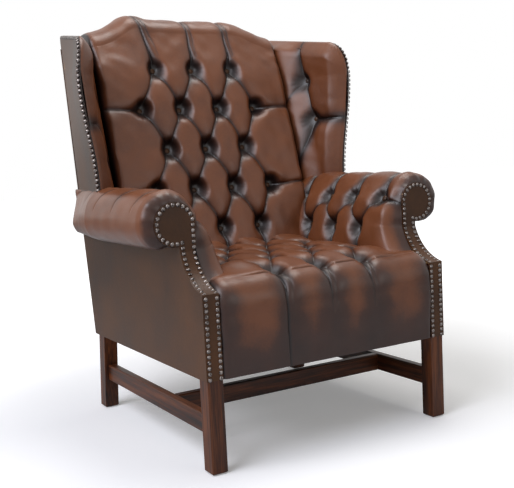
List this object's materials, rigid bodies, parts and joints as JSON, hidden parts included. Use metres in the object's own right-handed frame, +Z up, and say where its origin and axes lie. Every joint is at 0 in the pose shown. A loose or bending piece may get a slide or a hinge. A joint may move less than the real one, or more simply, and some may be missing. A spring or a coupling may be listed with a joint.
{
  "type": "wingback armchair",
  "caption": "Deep-buttoned leather wingback armchair with rolled arms, nailed scroll fronts and square timber legs joined by stretchers",
  "frame": {"origin": "on the floor, under the middle of the chair's bounding box", "axes": "-Y is the front of the chair, +X is to the right seen from the front, +Z is up"},
  "size_m": [0.8442, 0.8283, 1.0972],
  "materials": {
    "leather": "antique rub-off, semi-gloss",
    "show_timber": "dark stained, satin lacquer",
    "frame_timber": "sawn",
    "spring_steel": "drawn wire",
    "jute": "woven",
    "lining": "non-woven",
    "glide_plastic": "matt"
  },
  "bodies": {
    "root": {"arm_buttons_left": "leather", "arm_buttons_right": "leather", "arm_facing_left": "leather", "arm_facing_right": "leather", "arm_pad_left": "leather", "arm_pad_right": "leather", "arm_post_left": "frame_timber", "arm_post_right": "frame_timber", "arm_rail_left": "frame_timber", "arm_rail_right": "frame_timber", "arm_stay_rail_left": "frame_timber", "arm_stay_rail_right": "frame_timber", "back_buttons": "leather", "back_pad": "leather", "back_planted_rail": "frame_timber", "back_post_left": "show_timber", "back_post_right": "show_timber", "back_rail": "frame_timber", "back_webbing": "jute", "corner_blocks": "frame_timber", "crest_rail": "frame_timber", "cross_stretcher": "show_timber", "dust_cover": "lining", "front_leg_left": "show_timber", "front_leg_right": "show_timber", "front_rail": "frame_timber", "leg_glides": "glide_plastic", "lumbar_rail": "frame_timber", "outside_arm_left": "leather", "outside_arm_right": "leather", "outside_back": "leather", "outside_wing_left": "leather", "outside_wing_right": "leather", "seat_buttons": "leather", "seat_hessian": "jute", "seat_pad": "leather", "seat_springs": "spring_steel", "side_rail_left": "frame_timber", "side_rail_right": "frame_timber", "side_stretcher_left": "show_timber", "side_stretcher_right": "show_timber", "spring_clips": "spring_steel", "stay_rail": "frame_timber", "wing_buttons_left": "leather", "wing_buttons_right": "leather", "wing_pad_left": "leather", "wing_pad_right": "leather", "wing_post_left": "frame_timber", "wing_post_right": "frame_timber", "wing_rail_left": "frame_timber", "wing_rail_right": "frame_timber"}
  },
  "joints": []
}
